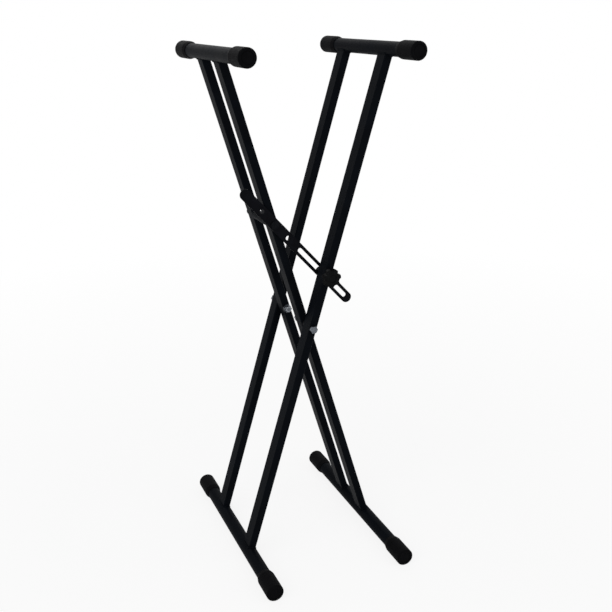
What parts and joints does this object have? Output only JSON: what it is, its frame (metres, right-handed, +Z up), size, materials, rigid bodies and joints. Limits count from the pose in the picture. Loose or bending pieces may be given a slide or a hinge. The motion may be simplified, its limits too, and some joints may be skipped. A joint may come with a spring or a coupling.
{
  "type": "folding keyboard stand",
  "caption": "Folding X-shaped keyboard stand: crossed tubular ladders with capped top and foot bars, a slotted flat strut and a star clamp knob.",
  "frame": {"origin": "on the floor, under the pivot axis and midway along the bars", "axes": "+Z up; +X from the inner ladder's top bar to the outer ladder's; -Y the front, where the clamp knob is"},
  "size_m": [0.3242, 0.43, 0.976],
  "materials": {
    "frame_paint": "satin black paint",
    "strut_paint": "satin black paint",
    "cap_rubber": "matt black rubber",
    "knob_plastic": "moulded black plastic",
    "spacer_nylon": "black nylon",
    "zinc_steel": "bright zinc plate",
    "black_steel": "black oxide steel",
    "insert_brass": "plain brass"
  },
  "bodies": {
    "inner_ladder": {"inner_front_arm": "frame_paint", "inner_rear_arm": "frame_paint", "inner_top_bar": "frame_paint", "inner_foot_bar": "frame_paint", "inner_top_front_cap": "cap_rubber", "inner_top_rear_cap": "cap_rubber", "inner_foot_front_cap": "cap_rubber", "inner_foot_rear_cap": "cap_rubber", "inner_front_pivot_sleeve": "zinc_steel", "inner_rear_pivot_sleeve": "zinc_steel", "inner_cross_tube": "frame_paint", "strut_bolt_sleeve": "zinc_steel"},
    "pivot_bolts": {"front_pivot_bolt": "zinc_steel", "front_pivot_nut": "zinc_steel", "front_pivot_washer": "zinc_steel", "front_pivot_spacer": "spacer_nylon", "rear_pivot_bolt": "zinc_steel", "rear_pivot_nut": "zinc_steel", "rear_pivot_washer": "zinc_steel", "rear_pivot_spacer": "spacer_nylon"},
    "outer_ladder": {"outer_front_arm": "frame_paint", "outer_rear_arm": "frame_paint", "outer_top_bar": "frame_paint", "outer_foot_bar": "frame_paint", "outer_top_front_cap": "cap_rubber", "outer_top_rear_cap": "cap_rubber", "outer_foot_front_cap": "cap_rubber", "outer_foot_rear_cap": "cap_rubber", "outer_front_pivot_sleeve": "zinc_steel", "outer_rear_pivot_sleeve": "zinc_steel", "clamp_bolt_head": "black_steel", "clamp_spacer": "black_steel", "clamp_stud": "zinc_steel", "clamp_sleeve": "zinc_steel", "clamp_washer": "black_steel"},
    "strut_pivot": {"strut_bolt": "black_steel", "strut_spacer": "spacer_nylon", "strut_barrel_nut": "black_steel"},
    "strut": {"strut": "strut_paint"},
    "knob": {"clamp_knob": "knob_plastic", "clamp_insert": "insert_brass"}
  },
  "joints": [
    {"name": "frame_fold", "type": "hinge", "parent": "inner_ladder", "child": "pivot_bolts", "pos_m": [0, 0, 0.47197], "axis": [0, 1, 0], "range_deg": [-28.8, 0]},
    {"name": "frame_spread", "type": "hinge", "parent": "pivot_bolts", "child": "outer_ladder", "pos_m": [0, 0, 0.47197], "axis": [0, 1, 0], "range_deg": [0, 40.7]},
    {"name": "strut_fold", "type": "hinge", "parent": "inner_ladder", "child": "strut_pivot", "pos_m": [-0.05891, -0.0485, 0.66832], "axis": [0, 1, 0], "range_deg": [-0.2, 21.2]},
    {"name": "strut_spread", "type": "hinge", "parent": "strut_pivot", "child": "strut", "pos_m": [-0.05891, -0.0485, 0.66832], "axis": [0, 1, 0], "range_deg": [-3.94, 0.2]},
    {"name": "knob_turn", "type": "hinge", "parent": "outer_ladder", "child": "knob", "pos_m": [0.02974, -0.0975, 0.5711], "axis": [0, -1, 0], "continuous": true}
  ],
  "couplings": [
    {"joint": "strut_fold", "follows": "frame_fold", "ratio": -0.72919},
    {"joint": "strut_spread", "follows": "frame_spread", "ratio": -0.09191}
  ]
}
